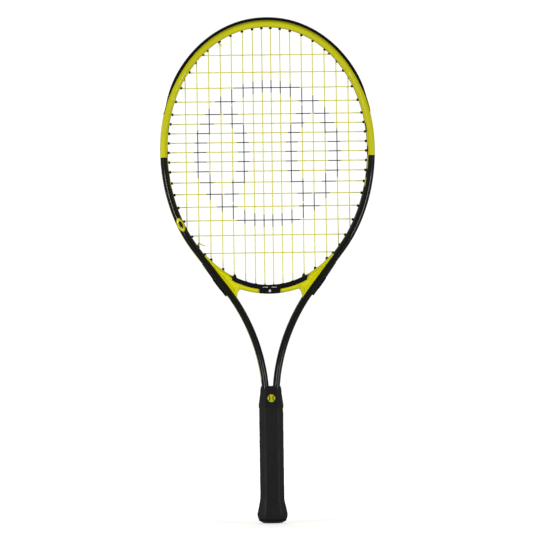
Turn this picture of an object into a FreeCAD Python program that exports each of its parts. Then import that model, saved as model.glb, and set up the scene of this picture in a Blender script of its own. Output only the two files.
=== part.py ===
"""Oversize tennis racket, strung, with a wrapped octagonal handle. Millimetres.

Row frame: +Z runs from the butt to the tip, X lies across the string bed, Y is square to it.
The origin is the centre of the butt's flat end.

The frame is one hollow carbon tube, bent like a hairpin: a hoop whose two ends run down as shafts
into the handle. A separate bridge closes the hoop at the throat. Every place on the tube is given
by one number u, measured along its outer edge from the tip: 0 to 1 is the upper quarter of the
hoop, 1 to 2 the lower quarter, 2 to 3 the straight shoulder, 3 to 4 the shaft's bend and 4 to 5
the run inside the handle. A negative u is the same place on the -X side.
"""
import FreeCAD, Part

import math
import os
from collections import namedtuple

from FreeCAD import Vector

# ---- hoop and shafts -------------------------------------------------------------------------
HEAD_CENTRE_Z = 505.0          # height of the widest place
HEAD_HALF_WIDTH = 145.6        # outer edge of the tube
HEAD_RISE = 177.8              # from the widest place up to the tube's outer edge at the tip
HEAD_DROP = 193.0              # the same downwards, for the ellipse that the lower hoop follows
CROWN_POWER = 2.04             # 2 is an ellipse; a little more squares the crown
SHOULDER_DEG = 45.2            # where the tube leaves the ellipse and runs straight
SHAFT_BEND_R = 250.0           # bend that brings each shaft parallel to the axis
HANDLE_SHAFT_X = 11.2          # outer edge of a shaft inside the handle
SHAFT_END_Z = 6.0
TUBE_WIDTH = [(0.0, 10.2), (2.0, 10.2), (3.3, 9.5), (4.0, 9.2), (5.0, 9.2)]
TUBE_DEPTH = [(0.0, 24.0), (1.0, 26.0), (3.0, 26.0), (4.0, 21.0), (5.0, 20.2)]
TUBE_WALL = 1.4
RIDGE_HALF = 1.3               # flat ridge along the front and back of the tube
GROOVE_DEPTH = 2.2             # string groove round the outside of the hoop
GROOVE_HALF = 4.3
STEM_FLOOR, STEM_HALF = -2.18, 4.05    # underside and half width of what lies in the groove
CHANNEL_FLOOR, CHANNEL_HALF = -1.2, 2.4    # the strings' own channel in it
GROOVE_END_U = 3.08            # the groove stops just past the shoulder
CHAMFER = (1.2, 2.9, 2.6)      # the tube's bevels: in from its side, along it, and to the ridge
OUTER_WALL = [(0.0, 3.5), (3.1, 3.5), (3.4, 1.4), (5.0, 1.4)]   # wall on the outer side

# ---- strings ---------------------------------------------------------------------------------
STRING_R = 0.65
MAIN_X = (6.0, 18.5, 32.0, 47.5, 62.5, 78.5, 94.5, 110.5)      # each side of the axis
FIRST_CROSS_Z = 634.8
CROSS_STEPS = (23.4, 21.0, 18.4, 17.2, 12.8, 12.8, 12.8, 12.8,
               13.0, 13.2, 14.9, 15.8, 17.3, 18.5, 20.4, 24.0)
WEAVE = 1.46                   # corner of a cross's zigzag, in front of or behind each main
WEAVE_BY_BARREL = 1.62         # the same where a main stands hard by the cross's barrel
LANE_Y = 1.55                  # mains and crosses run side by side in the groove
BUMPER_LEVEL = 0.95            # height of a string's centre over the tube's edge, in the guard
STRIP_LEVEL = -0.45            # the same on the side strips
UPPER_LAYER = 1.5              # the first run crosses above the others
CORNER_R = 1.3
WEAVE_R = 2.5

# ---- grommets --------------------------------------------------------------------------------
BARREL_R = 1.8
BARREL_BORE_R = 0.85
BARREL_HOLE_R = 1.9
BARREL_STANDOUT = 3.0
BRIDGE_HOLES_X = 50.0          # mains nearer the axis than this pass through the bridge alone
BRIDGE_EDGE_X = 40.8           # the widest place where the bridge's underside takes a string
WEB_HOLES_X = 90.0             # mains from there out to here pass through a shoulder and a web
BRIDGE_BARREL_STANDOUT = 0.4   # the bridge's inner barrels barely rise over their strip
BARREL_SETBACK = 0.25          # from where a string bends to the barrel's mouth
TIE_BARREL_R = 2.4             # the two barrels that also take a tied-off end
TIE_BORE_R = 1.45
TIE_SHIFT = 0.68
GUARD_END_Z = 556.0
GUARD_HEIGHT = 3.0
GUARD_RUN_IN = 60.0            # height over which the guard grows from its thin end
GUARD_WRAP = 1.1               # how far the guard comes down over the tube's outer bevels
GUARD_SKIN = 0.9
STRIP_END_Z = 354.0
PAD_TOP_Z = 352.0
PAD_END_Z = 309.0
PAD_HALF = 7.4
PAD_HEIGHTS = [(0, 0.5), (19, 1.6), (21, 2.3), (32, 2.6), (36, 2.2), (50, 2.2)]   # down from its top

# ---- throat bridge ---------------------------------------------------------------------------
BRIDGE_BOTTOM_Z = 310.8
BRIDGE_BOTTOM_R = 124.0
BRIDGE_INNER_RISE = 182.0      # inner ellipse of the hoop where the bridge closes it
BRIDGE_DEPTH = 22.0
BRIDGE_WALL = 2.2
BRIDGE_CORE = (7.4, 4.0)       # the hollow's lower and upper faces, below the hoop's inner edge
BRIDGE_CORE_X = 66.0
BRIDGE_GROOVE = 1.6
BRIDGE_GROOVE_X = 42.6
ARCH_X = 39.4                  # where the throat opening's rounded corner starts
SADDLE_X = 51.0
SADDLE_WALL = 1.2
SADDLE_LIP = 6.8
SADDLE_TAB_X = 14.2

# ---- handle ----------------------------------------------------------------------------------
BEVEL_SHARE = 0.47             # how much of the half width each corner bevel takes
CORE = [(4.0, 17.5, 15.2), (12.0, 18.7, 16.4), (20.0, 17.1, 14.9), (26.0, 15.9, 13.8),
        (33.0, 14.6, 12.7), (150.0, 14.5, 12.6), (163.0, 14.1, 12.2), (178.0, 12.9, 11.5)]
GRIP_THICKNESS = 1.7
GRIP_START_Z = 4.2
GRIP_TAPER_Z = 157.0
GRIP_END_Z = 163.0
TAPE_START_Z = 157.5
TAPE_END_Z = 172.0
TAPE_THICKNESS = 0.2
COLLAR = [(156.0, 16.4, 14.5), (160.0, 16.6, 14.6), (168.0, 15.4, 13.5), (176.0, 14.4, 12.7),
          (182.0, 14.0, 12.3), (185.5, 13.0, 11.6)]
COLLAR_LIP_Z = 180.0
CAP_END = [(0.0, 12.0, 10.0), (2.2, 16.4, 14.2), (4.0, 18.9, 16.6)]
CAP_FLOOR = 2.5
CAP_TOP_Z = 33.0
SOCKET_X, SOCKET_Y = 12.9, 11.4
PALLET_START_Z = 5.0
PALLET_END_Z = 178.0
CORE_SLOT_X, CORE_SLOT_Y = 2.6, 5.0    # half sizes of the hollow between the two shafts
BEYOND = 200.0                 # a cutting block reaches this far, past everything it cuts

# ---- trap door, staples and tack -------------------------------------------------------------
DOOR_X, DOOR_Y, DOOR_THICKNESS = 8.6, 6.6, 1.2
DOOR_GAP = 0.15
PLUG_X, PLUG_Y = 6.9, 4.9
PLUG_HEIGHT = 1.6
LEG_THICKNESS, LEG_WIDTH, LEG_TOP_Z = 1.0, 6.0, 4.7
STAPLE_Z = 28.5
STAPLE_CROWN = 8.0
STAPLE_WIRE = 0.7
STAPLE_LEG = 3.6
TACK_Z = 9.0
TACK_HEAD_R = 2.2
TACK_HEAD = 0.5
TACK_SHANK_R = 0.6
TACK_LENGTH = 6.0

KNOT_R = 1.9
KNOT_GAP = 0.9                 # from where the main bends into its grommet to the knot
UPPER_TAIL, LOWER_TAIL = 3.4, 9.0


# ---- the tube's outer edge -------------------------------------------------------------------
def blend(u, table):
    """Value at |u| on a table of (u, value) pairs, straight between them."""
    u = abs(u)
    for (u0, v0), (u1, v1) in zip(table, table[1:]):
        if u <= u1:
            return v0 + (v1 - v0) * (u - u0) / (u1 - u0)
    return table[-1][1]


def unit(x, z):
    length = math.hypot(x, z)
    return x / length, z / length


SHOULDER_ANGLE = math.radians(SHOULDER_DEG)
SHOULDER_X = HEAD_HALF_WIDTH * math.cos(SHOULDER_ANGLE)
SHOULDER_Z = HEAD_CENTRE_Z - HEAD_DROP * math.sin(SHOULDER_ANGLE)
LEAN = math.atan(HEAD_HALF_WIDTH / HEAD_DROP * math.tan(SHOULDER_ANGLE))   # from the vertical
BEND_X = HANDLE_SHAFT_X + SHAFT_BEND_R * (1 - math.cos(LEAN))
BEND_Z = SHOULDER_Z - (SHOULDER_X - BEND_X) / math.tan(LEAN)
STRAIGHT_Z = BEND_Z - SHAFT_BEND_R * math.sin(LEAN)


def edge(u):
    """(x, z) of the tube's outer edge at u, and its outward normal in the XZ plane."""
    side = -1.0 if u < 0 else 1.0
    u = abs(u)
    if u <= 1:
        t = math.radians(90 * (1 - u))
        share_x = math.cos(t) ** (2 / CROWN_POWER) if u > 0 else 0.0
        share_z = math.sin(t) ** (2 / CROWN_POWER) if u < 1 else 0.0
        x, z = HEAD_HALF_WIDTH * share_x, HEAD_CENTRE_Z + HEAD_RISE * share_z
        normal = unit(share_x ** (CROWN_POWER - 1) / HEAD_HALF_WIDTH,
                      share_z ** (CROWN_POWER - 1) / HEAD_RISE)
    elif u <= 2:
        t = SHOULDER_ANGLE * (u - 1)
        x = HEAD_HALF_WIDTH * math.cos(t)
        z = HEAD_CENTRE_Z - HEAD_DROP * math.sin(t)
        normal = unit(math.cos(t) / HEAD_HALF_WIDTH, -math.sin(t) / HEAD_DROP)
    elif u <= 3:
        x = SHOULDER_X + (BEND_X - SHOULDER_X) * (u - 2)
        z = SHOULDER_Z + (BEND_Z - SHOULDER_Z) * (u - 2)
        normal = (math.cos(LEAN), -math.sin(LEAN))
    elif u <= 4:
        phi = LEAN * (4 - u)
        x = HANDLE_SHAFT_X + SHAFT_BEND_R * (1 - math.cos(phi))
        z = STRAIGHT_Z + SHAFT_BEND_R * math.sin(phi)
        normal = (math.cos(phi), -math.sin(phi))
    else:
        x, z = HANDLE_SHAFT_X, STRAIGHT_Z + (SHAFT_END_Z - STRAIGHT_Z) * (u - 4)
        normal = (1.0, 0.0)
    return (side * x, z), (side * normal[0], normal[1])


def find_u(value, axis, low, high):
    """The u between low and high where the edge's x (axis 0) or z (axis 1) has this value."""
    rising = edge(high)[0][axis] > edge(low)[0][axis]
    for _ in range(50):
        middle = (low + high) / 2
        if (edge(middle)[0][axis] < value) == rising:
            low = middle
        else:
            high = middle
    return (low + high) / 2


def place(u, out, y):
    """The point that stands out from the tube's edge at u, at depth y."""
    (x, z), (nx, nz) = edge(u)
    return Vector(x + nx * out, y, z + nz * out)


def steps(start, end, count):
    return [start + (end - start) * i / count for i in range(count + 1)]


# ---- solids from sections --------------------------------------------------------------------
def ring(points):
    return Part.makePolygon(list(points) + [points[0]])


def loft(wires, ruled=False):
    return Part.makeLoft(wires, True, ruled)


def sweep_outline(stations, outline):
    """A solid lofted along the edge. outline(u) gives its section as (out, y) pairs."""
    return loft([ring([place(u, out, y) for out, y in outline(u)]) for u in stations])


def mirrored_y(half):
    """A closed outline from its y > 0 half, listed from the outer side to the inner side."""
    return half + [(out, -y) for out, y in reversed(half)]


def octagon(half_x, half_y, z, grow=0.0):
    """The handle's eight-sided section: broad front and back, narrower sides, four bevels."""
    cut = BEVEL_SHARE * half_x
    x, y = half_x + grow, half_y + grow
    xi, yi = half_x - cut + 0.41 * grow, half_y - cut + 0.41 * grow
    corners = [(x, -yi), (x, yi), (xi, y), (-xi, y), (-x, yi), (-x, -yi), (-xi, -y), (xi, -y)]
    return ring([Vector(cx, cy, z) for cx, cy in corners])


def profile_at(profile, z):
    for (z0, x0, y0), (z1, x1, y1) in zip(profile, profile[1:]):
        if z <= z1:
            share = (z - z0) / (z1 - z0)
            return x0 + (x1 - x0) * share, y0 + (y1 - y0) * share
    return profile[-1][1:]


def octagon_body(profile, low, high, grow=0.0, end_grow=None):
    """Octagonal solid between two heights, grown by a thickness that may change at the end."""
    levels = [low] + [z for z, _, _ in profile if low < z < high] + [high]
    wires = []
    for z in levels:
        extra = grow if end_grow is None or z < high else end_grow
        wires.append(octagon(*profile_at(profile, z), z, extra))
    return loft(wires, ruled=True)


def rod(start, end, radius):
    return Part.makeCylinder(radius, (end - start).Length, start, end - start)


def box(low, high):
    size = [b - a for a, b in zip(low, high)]
    return Part.makeBox(*size, Vector(*low))


def plate(outline_edges, half_depth):
    """A face in the XZ plane, thickened to both sides of it."""
    face = Part.Face(Part.Wire(outline_edges))
    face.translate(Vector(0, -half_depth, 0))
    return face.extrude(Vector(0, 2 * half_depth, 0))


def only_solid(shape):
    """The largest solid of a result, as one clean solid."""
    return max(shape.Solids, key=lambda s: s.Volume)


# ---- the frame tube --------------------------------------------------------------------------
def tube_half(u):
    width, half = blend(u, TUBE_WIDTH), blend(u, TUBE_DEPTH) / 2
    middle = -width / 2
    step_in, long, rise = CHAMFER
    low, high = half - rise - long, half - rise
    return [(0, low), (-step_in, high), (middle + RIDGE_HALF, half),
            (middle - RIDGE_HALF, half), (-width + step_in, high), (-width, low)]


def tube_outline(u):
    return mirrored_y(tube_half(u))


def groove_outline(u):
    return mirrored_y([(3, GROOVE_HALF + 0.3), (0, GROOVE_HALF),
                       (-GROOVE_DEPTH, GROOVE_HALF - 0.2)])


def bore_outline(u):
    width, half = blend(u, TUBE_WIDTH), blend(u, TUBE_DEPTH) / 2
    outer, inner = -blend(u, OUTER_WALL), -width + TUBE_WALL
    middle, reach = (outer + inner) / 2, (outer - inner) / 2
    return mirrored_y([(outer, half - 6), (middle + 0.35 * reach, half - 1.9),
                       (middle - 0.35 * reach, half - 1.9), (inner, half - 6)])


HALF_HOOP = steps(0, 1, 8)[1:] + steps(1, 2, 5)[1:] + steps(2, 3, 3)[1:]
HOOP_STATIONS = [-u for u in reversed(HALF_HOOP)] + [0] + HALF_HOOP
GROOVE_STATIONS = [-GROOVE_END_U] + HOOP_STATIONS + [GROOVE_END_U]
SHAFT_STATIONS = steps(3, 4, 7)


def tube_runs(outline):
    """The hoop, both bent shafts and both straight ends, as solids that meet face to face."""
    runs = [sweep_outline(HOOP_STATIONS, outline)]
    for side in (1, -1):
        runs.append(sweep_outline([side * u for u in SHAFT_STATIONS], outline))
        runs.append(sweep_outline([side * 4, side * 5], outline))
    return runs


# ---- where the strings pass the frame --------------------------------------------------------
CROSS_Z = [FIRST_CROSS_Z - sum(CROSS_STEPS[:i]) for i in range(len(CROSS_STEPS) + 1)]


def level(u):
    """Height of a string's centre over the tube's edge, in the groove at u."""
    return BUMPER_LEVEL if edge(u)[0][1] > GUARD_END_Z else STRIP_LEVEL


def main_top_u(x):
    u = find_u(abs(x), 0, 0, 1)
    return math.copysign(u, x)


def main_bottom_u(x):
    return math.copysign(find_u(abs(x), 0, 1, 3), x)


def cross_u(z, side):
    return side * find_u(z, 1, 0, 3)


def crossing(u, along, out):
    """Where a string along X or Z through the edge point at u meets the height out over it."""
    (x, z), (nx, nz) = edge(u)
    if along == "z":
        return Vector(x, 0, z + out / nz)
    return Vector(x + out / nx, 0, z)


def bridge_underside(x):
    return BRIDGE_BOTTOM_Z + BRIDGE_BOTTOM_R - math.sqrt(BRIDGE_BOTTOM_R ** 2 - x ** 2)


def bridge_inner(x, drop=0.0):
    """Height of the hoop's inner edge over the bridge."""
    reach = HEAD_HALF_WIDTH - TUBE_WIDTH[0][1]
    return HEAD_CENTRE_Z - BRIDGE_INNER_RISE * math.sqrt(1 - (x / reach) ** 2) - drop


Hole = namedtuple("Hole", "inner outer bend mouth u")
Hole.__doc__ = """A grommet: its two ends, where the string bends into it inside the hoop, where
the string leaves it in the groove, and the u of that place."""


def nearest_u(point, guess):
    """The u near a guess whose normal passes through a point inside the hoop, on the +X side."""
    low, high = max(0.0, guess - 0.3), guess + 0.3
    for _ in range(60):
        first, second = low + (high - low) / 3, high - (high - low) / 3
        if (place(first, 0, 0) - point).Length < (place(second, 0, 0) - point).Length:
            high = second
        else:
            low = first
    return (low + high) / 2


def square_hole(u, along):
    """A grommet square to the tube, for a string along X or Z whose line meets the edge at u."""
    (x, z), _ = edge(u)
    bend = crossing(u, along, -blend(u, TUBE_WIDTH))
    inwards = Vector(0, 0, HEAD_CENTRE_Z - z) if along == "z" else Vector(-x, 0, 0)
    bend += inwards.normalize() * BARREL_STANDOUT
    foot = math.copysign(nearest_u(Vector(abs(bend.x), 0, bend.z), abs(u)), x)
    _, (nx, nz) = edge(foot)
    inner = bend + Vector(nx, 0, nz) * BARREL_SETBACK
    return Hole(inner, place(foot, -GROOVE_DEPTH, 0), bend, place(foot, level(foot), 0), foot)


def main_hole(x, top):
    if top:
        return square_hole(main_top_u(x), "z")
    if abs(x) < BRIDGE_HOLES_X:
        outer_x = x if abs(x) < BRIDGE_EDGE_X else math.copysign(BRIDGE_EDGE_X, x)
        standout = BRIDGE_BARREL_STANDOUT if abs(x) < BRIDGE_EDGE_X else BARREL_STANDOUT
        inner = Vector(x, 0, bridge_inner(x) + standout)
        outer = Vector(outer_x, 0, bridge_underside(outer_x) + 2.1)
        return Hole(inner, outer, inner + Vector(0, 0, 0.8), outer, None)
    u = main_bottom_u(x)
    if abs(x) > WEB_HOLES_X:
        return square_hole(u, "z")
    inner = Vector(x, 0, bridge_inner(x) + BARREL_STANDOUT)   # through the shoulder and the web
    return Hole(inner, crossing(u, "z", -GROOVE_DEPTH), inner, crossing(u, "z", level(u)), u)


def cross_hole(z, side):
    return square_hole(cross_u(z, side), "x")


TIE_TOP_X, TIE_BOTTOM_X = -MAIN_X[4], -MAIN_X[6]
ALL_MAIN_X = [-x for x in reversed(MAIN_X)] + list(MAIN_X)


def holes():
    """Every grommet as (inner end, outer end, tied shift in y)."""
    found = [(main_hole(x, True), TIE_SHIFT if x == TIE_TOP_X else 0) for x in ALL_MAIN_X]
    found += [(main_hole(x, False), -TIE_SHIFT if x == TIE_BOTTOM_X else 0) for x in ALL_MAIN_X]
    found += [(cross_hole(z, side), 0) for z in CROSS_Z for side in (-1, 1)]
    return [(hole.inner, hole.outer, shift) for hole, shift in found]


def along_hole(hole, radius, tied_radius, inner_extra=0.0, outer_extra=0.0):
    """A rod down the middle of a grommet, longer than it by an extra at each end."""
    inner, outer, shift = hole
    way = (outer - inner).normalize()
    offset = Vector(0, shift, 0)
    size = tied_radius if shift else radius
    return rod(inner - way * inner_extra + offset, outer + way * outer_extra + offset, size)


def frame_tube(all_holes):
    hollow = [run.cut(bore) for run, bore in zip(tube_runs(tube_outline), tube_runs(bore_outline))]
    tube = hollow[0]
    for run in hollow[1:]:
        tube = tube.fuse(run)
    tube = tube.cut(sweep_outline(GROOVE_STATIONS, groove_outline))
    grow = BARREL_HOLE_R - BARREL_R
    drills = [along_hole(h, BARREL_HOLE_R, TIE_BARREL_R + grow, 0, 6) for h in all_holes]
    return only_solid(tube.cut(Part.makeCompound(drills)))


# ---- grommet strips, guard and shoulder pads -------------------------------------------------
def strip_outline(u):
    return mirrored_y([(CHANNEL_FLOOR, CHANNEL_HALF), (-0.02, CHANNEL_HALF + 0.2),
                       (-0.02, STEM_HALF + 0.15), (STEM_FLOOR, STEM_HALF)])


def guard_outline(u):
    """A T section: its stem fills the groove, and its cap wraps over the tube's outer bevels."""
    (_, z), _ = edge(u)
    share = min(1.0, (z - GUARD_END_Z) / GUARD_RUN_IN + 0.12)
    top = max(GUARD_HEIGHT * share, 0.3)
    floor = min(0.2, top - 0.1)
    step_in, long, rise = CHAMFER
    side_y = blend(u, TUBE_DEPTH) / 2 - rise - long    # where the tube's side ends
    wrap = GUARD_WRAP * share
    bevel_y = side_y + long * wrap / step_in           # y of the tube's bevel, that far down it
    return mirrored_y([(floor, CHANNEL_HALF), (top, CHANNEL_HALF + 0.2), (top, 6.2),
                       (top * 0.6, side_y + 2.1), (-wrap, bevel_y + GUARD_SKIN),
                       (-wrap, bevel_y + 0.06), (0.03, side_y), (0.03, STEM_HALF + 0.15),
                       (STEM_FLOOR, STEM_HALF)])


def pad_outline(u):
    (_, z), _ = edge(u)
    down = PAD_TOP_Z - z
    top = blend(down, PAD_HEIGHTS)
    return mirrored_y([(CHANNEL_FLOOR, CHANNEL_HALF), (top, CHANNEL_HALF + 0.2),
                       (top, PAD_HALF - 1.4), (top * 0.6, PAD_HALF), (0.02, PAD_HALF),
                       (0.02, STEM_HALF + 0.15), (STEM_FLOOR, STEM_HALF)])


def with_barrels(base, own_holes):
    barrels = [along_hole(h, BARREL_R, TIE_BARREL_R, 0, 0.6) for h in own_holes]
    bores = [along_hole(h, BARREL_BORE_R, TIE_BORE_R, 1, 6) for h in own_holes]
    return only_solid(base.multiFuse(barrels).cut(Part.makeCompound(bores)))


def holes_between(all_holes, low, high, side=0):
    return [h for h in all_holes
            if low < h[1].z < high and h[1].x * side >= 0
            and (abs(h[1].x) > BRIDGE_HOLES_X or h[1].z > HEAD_CENTRE_Z)]


def bumper_guard(all_holes):
    end = find_u(GUARD_END_Z, 1, 0, 1)
    base = sweep_outline(steps(-end, 0, 8) + steps(0, end, 8)[1:], guard_outline)
    return with_barrels(base, holes_between(all_holes, GUARD_END_Z, math.inf))


def grommet_strip(all_holes, side):
    first, last = find_u(GUARD_END_Z - 0.3, 1, 0, 1), find_u(STRIP_END_Z, 1, 2, 3)
    stations = [first] + [u for u in HALF_HOOP if first + 0.04 < u < last] + [last]
    base = sweep_outline([side * u for u in stations], strip_outline)
    return with_barrels(base, holes_between(all_holes, STRIP_END_Z, GUARD_END_Z, side))


def shoulder_pad(all_holes, side):
    levels = (PAD_TOP_Z, 333.0, 331.0, 320.0, 316.0, PAD_END_Z)
    base = loft([ring([place(side * find_u(z, 1, 2, 3.2), out, y)
                       for out, y in pad_outline(find_u(z, 1, 2, 3.2))])
                 for z in levels], ruled=True)
    return with_barrels(base, holes_between(all_holes, PAD_END_Z, PAD_TOP_Z, side))


# ---- throat bridge and its strip -------------------------------------------------------------
def spline(points):
    curve = Part.BSplineCurve()
    curve.interpolate(points)
    return curve.toShape()


def line(a, b):
    return Part.makeLine(a, b)


def arc_edge(a, middle, b):
    return Part.Arc(a, middle, b).toShape()


def at(x, z):
    return Vector(x, 0, z)


def inner_edge_curve(x_from, x_to, drop):
    return [at(x, bridge_inner(x, drop)) for x in steps(x_from, x_to, 12)]


def bridge_outline():
    """Front view of the bridge and its two webs, running into the middle of each tube."""
    top_x, web_x, web_z = 90.0, 47.0, 301.0
    low_x, low_z = 44.7, 304.2
    corner_z = bridge_underside(ARCH_X)
    right = [line(at(top_x, bridge_inner(top_x)), at(top_x + 3, bridge_inner(top_x) - 6)),
             line(at(top_x + 3, bridge_inner(top_x) - 6), at(web_x, web_z)),
             line(at(web_x, web_z), at(low_x, low_z)),
             arc_edge(at(low_x, low_z), at(43.4, 311.8), at(ARCH_X, corner_z))]
    under = arc_edge(at(ARCH_X, corner_z), at(0, BRIDGE_BOTTOM_Z), at(-ARCH_X, corner_z))
    left = [e.mirror(Vector(), Vector(1, 0, 0)) for e in right]
    return [spline(inner_edge_curve(-top_x, top_x, 0))] + right + [under] + left


def band_plate(x_reach, low_drop, high_drop, half_depth):
    """A plate between two curves that run a given drop below the hoop's inner edge."""
    high = inner_edge_curve(-x_reach, x_reach, high_drop)
    low = inner_edge_curve(-x_reach, x_reach, low_drop)
    return plate([spline(high), line(high[-1], low[-1]), spline(low), line(low[0], high[0])],
                 half_depth)


def saddle_block(grow_depth):
    band = band_plate(SADDLE_X, SADDLE_LIP, 0, BRIDGE_DEPTH / 2 + grow_depth)
    tab_top = bridge_inner(0) - 2
    corner = bridge_underside(SADDLE_TAB_X)
    tab = plate([line(at(-SADDLE_TAB_X, corner), at(-SADDLE_TAB_X, tab_top)),
                 line(at(-SADDLE_TAB_X, tab_top), at(SADDLE_TAB_X, tab_top)),
                 line(at(SADDLE_TAB_X, tab_top), at(SADDLE_TAB_X, corner)),
                 arc_edge(at(SADDLE_TAB_X, corner), at(0, BRIDGE_BOTTOM_Z),
                          at(-SADDLE_TAB_X, corner))], BRIDGE_DEPTH / 2 + grow_depth)
    return band.fuse(tab)


def bridge_groove():
    """The string groove along the bridge's underside, between its outer barrels."""
    low = [at(x, bridge_underside(x) - 1.5) for x in (-BRIDGE_GROOVE_X, 0, BRIDGE_GROOVE_X)]
    high = [point + Vector(0, 0, 1.5 + BRIDGE_GROOVE) for point in low]
    return plate([arc_edge(*low), line(low[2], high[2]), arc_edge(*high), line(high[0], low[0])],
                 GROOVE_HALF - 1.7)


def throat_bridge(tube_pieces, all_holes):
    outline = bridge_outline()
    block = plate(outline, BRIDGE_DEPTH / 2)
    block = block.cut(band_plate(SADDLE_X, SADDLE_WALL, -3, BRIDGE_DEPTH))
    for piece in tube_pieces:
        block = block.cut(piece)
    core_low, core_high = BRIDGE_CORE
    block = block.cut(band_plate(BRIDGE_CORE_X, core_low, core_high, BRIDGE_DEPTH / 2 - BRIDGE_WALL))
    block = block.cut(bridge_groove())
    for hole in all_holes:
        if abs(hole[0].x) < WEB_HOLES_X + 8 and hole[1].z < HEAD_CENTRE_Z:
            block = block.cut(along_hole(hole, BARREL_HOLE_R, BARREL_HOLE_R, 3, 3))
    return only_solid(block)


def throat_grommet_strip(all_holes):
    saddle = saddle_block(SADDLE_WALL)
    inside = band_plate(SADDLE_X + 2, 60, SADDLE_WALL, BRIDGE_DEPTH / 2)
    saddle = saddle.cut(inside)
    own = [h for h in all_holes if abs(h[0].x) < BRIDGE_HOLES_X and h[1].z < HEAD_CENTRE_Z]
    return with_barrels(saddle, own)


# ---- the string ------------------------------------------------------------------------------
def rounded_route(points, radius_at):
    """A wire of straight runs joined by arcs tangent to both, one arc at each inner point."""
    edges, start = [], points[0]
    for i in range(1, len(points) - 1):
        before, here, after = points[i - 1], points[i], points[i + 1]
        back, ahead = (before - here), (after - here)
        room = 0.47 * min(back.Length, ahead.Length)
        turn = math.pi - back.getAngle(ahead)
        if turn < 0.01:
            continue
        back.normalize()
        ahead.normalize()
        reach = min(room, radius_at(i) * math.tan(turn / 2))
        radius = reach / math.tan(turn / 2)
        first, last = here + back * reach, here + ahead * reach
        to_centre = (back + ahead).normalize()
        middle = here + to_centre * (radius / math.cos(turn / 2) - radius)
        edges.append(Part.makeLine(start, first))
        edges.append(Part.Arc(first, middle, last).toShape())
        start = last
    edges.append(Part.makeLine(start, points[-1]))
    return Part.Wire(edges)


def string_solid(points):
    """One string, round, swept along its rounded route."""
    route = rounded_route(points, lambda i: CORNER_R if points[i].y in (0, LANE_Y, -LANE_Y)
                          else WEAVE_R)
    start = points[0]
    circle = Part.makeCircle(STRING_R, start, points[1] - start)
    return only_solid(Part.Solid(route.makePipeShell([Part.Wire(circle)], True, True)))


def groove_run(u_from, u_to, lane, extra=0.0):
    """Points in the groove between two holes, off the holes' line by a lane."""
    count = 3 if abs(u_to - u_from) < 0.16 else 4
    shares = [0.3 + 0.4 * i / (count - 2) for i in range(count - 1)]
    inside = [u_from + (u_to - u_from) * s for s in shares]
    return [place(u, level(u) + extra, lane) for u in inside]


def bridge_run(x_from, x_to):
    lift = 0.75
    outer = [main_hole(x, False).outer.x for x in (x_from, x_to)]
    xs = [outer[0]] + [outer[0] + (outer[1] - outer[0]) * s for s in (0.35, 0.65)] + [outer[1]]
    ys = (0, LANE_Y, LANE_Y, 0)
    return [Vector(x, y, bridge_underside(x) + lift) for x, y in zip(xs, ys)]


def main_string_points():
    """From the knot at the top left, out round the crown and to and fro up to the right side."""
    tie, first = main_hole(TIE_TOP_X, True), main_hole(-MAIN_X[-1], True)
    aside = Vector(0, 2 * TIE_SHIFT, 0)
    points = [tie.inner + aside, place(tie.u, level(tie.u) + UPPER_LAYER, 0) + aside]
    for share in (0.2, 0.4, 0.6, 0.8, 0.93):
        u = tie.u + (first.u - tie.u) * share
        points.append(place(u, level(u) + UPPER_LAYER, 0))
    points.append(first.mouth)
    for number, x in enumerate(ALL_MAIN_X):
        going_down = number % 2 == 0
        near, far = main_hole(x, going_down), main_hole(x, not going_down)
        points += [near.bend, far.bend]
        if number == len(ALL_MAIN_X) - 1:
            return points + [far.mouth]
        following = ALL_MAIN_X[number + 1]
        if going_down and abs(x) < BRIDGE_HOLES_X:
            points += bridge_run(x, following)
        else:
            ahead = main_hole(following, not going_down)
            points += [far.mouth] + groove_run(far.u, ahead.u, LANE_Y) + [ahead.mouth]


def cross_run(index):
    """One cross from its left mouth to its right mouth, over and under the mains."""
    left, right = cross_hole(CROSS_Z[index], -1), cross_hole(CROSS_Z[index], 1)
    points = [left.mouth, left.bend]
    for column, x in enumerate(ALL_MAIN_X):
        if abs(x) < right.bend.x - 1:
            depth = WEAVE if abs(x) < right.bend.x - 4 else WEAVE_BY_BARREL
            points.append(Vector(x, depth if (column + index) % 2 else -depth, CROSS_Z[index]))
    return points + [right.bend, right.mouth]


def cross_string_points():
    """From the last main at the top right, to and fro down to the knot at the lower left."""
    last_u, first_u = main_hole(MAIN_X[-1], True).u, cross_hole(CROSS_Z[0], 1).u
    start = last_u + (first_u - last_u) * 0.16
    points = [place(start, level(start), -LANE_Y)] + groove_run(last_u, first_u, -LANE_Y)
    for index, z in enumerate(CROSS_Z):
        run = cross_run(index)
        side = 1 if index % 2 == 0 else -1
        points += list(reversed(run)) if side == 1 else run
        if index + 1 < len(CROSS_Z):
            here, there = cross_hole(z, -side), cross_hole(CROSS_Z[index + 1], -side)
            points += groove_run(here.u, there.u, -LANE_Y)
    tie = main_hole(TIE_BOTTOM_X, False)
    aside = Vector(0, -2 * TIE_SHIFT, 0)
    return points + [tie.mouth + aside, tie.inner + aside]


def knot(x, top, tail_way):
    """A tie-off knot round a main, just inside its grommet, with its cut tail."""
    centre = main_hole(x, top).bend + Vector(0, 0, -1 if top else 1) * (KNOT_R + KNOT_GAP)
    body = Part.makeSphere(KNOT_R, centre)
    tail_length = UPPER_TAIL if top else LOWER_TAIL
    tail = rod(centre, centre + tail_way.normalize() * tail_length, STRING_R)
    whole = body.fuse(tail)
    reach = Vector(0, 0, 3 * KNOT_R)
    return only_solid(whole.cut(rod(centre - reach, centre + reach, STRING_R + 0.03)))


# ---- handle ----------------------------------------------------------------------------------
def core_grown(low, high, grow, end_grow=None):
    return octagon_body(CORE, low, high, grow, end_grow)


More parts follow.
